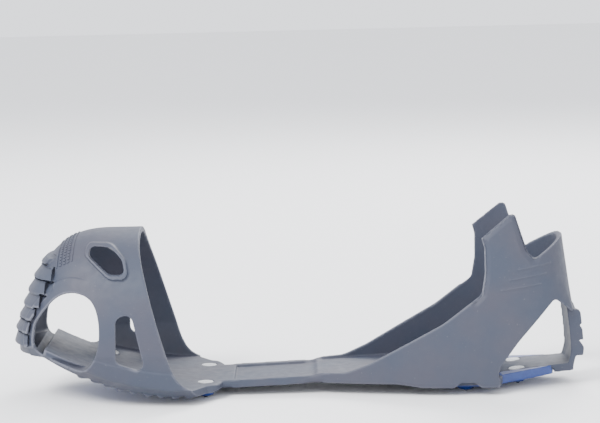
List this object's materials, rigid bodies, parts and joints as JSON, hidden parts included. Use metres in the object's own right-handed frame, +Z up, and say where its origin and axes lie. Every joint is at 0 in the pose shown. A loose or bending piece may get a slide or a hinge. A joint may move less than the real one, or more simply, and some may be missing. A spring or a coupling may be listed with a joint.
{
  "type": "shoe ice cleats",
  "caption": "Pull-on elastomer ice cleat harness for a boot, with stud plates and carbide-tipped steel studs under the forefoot and heel.",
  "frame": {"origin": "middle of the footprint, on the ground under the stud tips", "axes": "+X from toe to heel, +Y to the boot's other side, +Z up"},
  "size_m": [0.3273, 0.1138, 0.1025],
  "materials": {
    "harness": "matte moulded elastomer, grey-blue",
    "plate": "satin blue polyurethane",
    "jacket": "turned steel",
    "carbide": "sintered carbide, dark satin"
  },
  "bodies": {
    "forefoot": {"toe_harness": "harness", "forefoot_stud_plate": "plate", "stud_jacket_fore_rear_left": "jacket", "stud_jacket_fore_rear_right": "jacket", "stud_jacket_fore_mid_left": "jacket", "stud_jacket_fore_mid_right": "jacket", "stud_jacket_fore_front_left": "jacket", "stud_jacket_fore_front_right": "jacket", "carbide_tip_fore_rear_left": "carbide", "carbide_tip_fore_rear_right": "carbide", "carbide_tip_fore_mid_left": "carbide", "carbide_tip_fore_mid_right": "carbide", "carbide_tip_fore_front_left": "carbide", "carbide_tip_fore_front_right": "carbide"},
    "arch": {"arch_web": "harness"},
    "heel": {"heel_harness": "harness", "heel_stud_plate": "plate", "stud_jacket_heel_front_left": "jacket", "stud_jacket_heel_rear_left": "jacket", "stud_jacket_heel_front_right": "jacket", "stud_jacket_heel_rear_right": "jacket", "carbide_tip_heel_front_left": "carbide", "carbide_tip_heel_rear_left": "carbide", "carbide_tip_heel_front_right": "carbide", "carbide_tip_heel_rear_right": "carbide"}
  },
  "joints": [
    {"name": "ball_flex", "type": "hinge", "parent": "forefoot", "child": "arch", "pos_m": [-0.0415, 0, 0.0091], "axis": [0, -1, 0], "range_deg": [0, 35], "stiffness_Nm_per_rad": 1},
    {"name": "heel_stretch", "type": "slide", "parent": "arch", "child": "heel", "axis": [1, 0, 0], "range_m": [0, 0.025], "stiffness_N_per_m": 2500}
  ]
}
